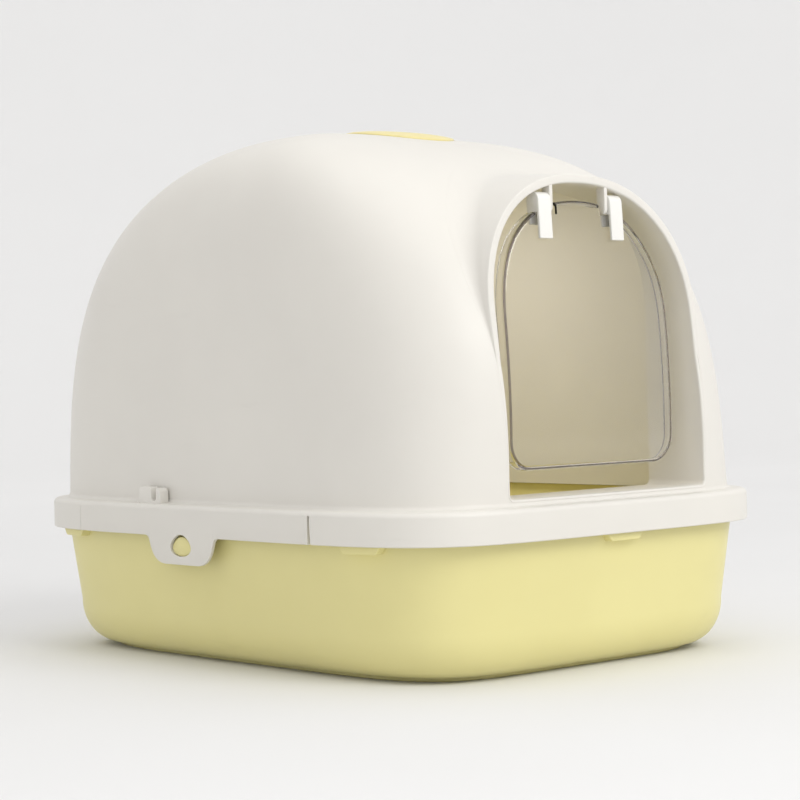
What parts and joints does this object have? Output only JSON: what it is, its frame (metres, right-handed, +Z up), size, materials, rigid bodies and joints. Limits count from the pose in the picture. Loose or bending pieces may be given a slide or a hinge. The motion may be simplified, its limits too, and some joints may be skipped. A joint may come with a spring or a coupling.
{
  "type": "hooded cat litter box",
  "caption": "Deep litter tray with a domed hood, an arched doorway with a clear swinging door, hinged side latches, a scoop holder and a filter cover on top.",
  "frame": {"origin": "on the floor, under the middle of the box", "axes": "+Z up, the doorway faces -Y, the long side runs along Y"},
  "size_m": [0.375, 0.4998, 0.3934],
  "materials": {
    "tray": "satin moulded plastic, pale yellow",
    "hood": "satin moulded plastic, warm white",
    "latch": "satin moulded plastic, warm white",
    "door": "clear polished plastic",
    "clip": "satin moulded plastic, warm white",
    "cover": "satin moulded plastic, yellow",
    "pad": "charcoal felt"
  },
  "bodies": {
    "tray": {"tray": "tray"},
    "hood": {"hood": "hood", "filter_pad": "pad"},
    "latch_left": {"latch_left": "latch"},
    "latch_right": {"latch_right": "latch"},
    "door": {"door_panel": "door", "door_clip_left": "clip", "door_clip_right": "clip"},
    "filter_cover": {"filter_cover": "cover"}
  },
  "joints": [
    {"name": "hood_lift", "type": "slide", "parent": "tray", "child": "hood", "axis": [0, 0, 1], "range_m": [0, 0.15]},
    {"name": "latch_left_hinge", "type": "hinge", "parent": "hood", "child": "latch_left", "pos_m": [-0.18625, 0.01, 0.11215], "axis": [0, 1, 0], "range_deg": [0, 12], "stiffness_Nm_per_rad": 0.05},
    {"name": "latch_right_hinge", "type": "hinge", "parent": "hood", "child": "latch_right", "pos_m": [0.18625, 0.01, 0.11215], "axis": [0, -1, 0], "range_deg": [0, 12], "stiffness_Nm_per_rad": 0.05},
    {"name": "door_hinge", "type": "hinge", "parent": "hood", "child": "door", "pos_m": [0, -0.2085, 0.3225], "axis": [1, 0, 0], "range_deg": [-70, 55]},
    {"name": "filter_cover_lift", "type": "slide", "parent": "hood", "child": "filter_cover", "axis": [0, 0, 1], "range_m": [0, 0.05]}
  ]
}
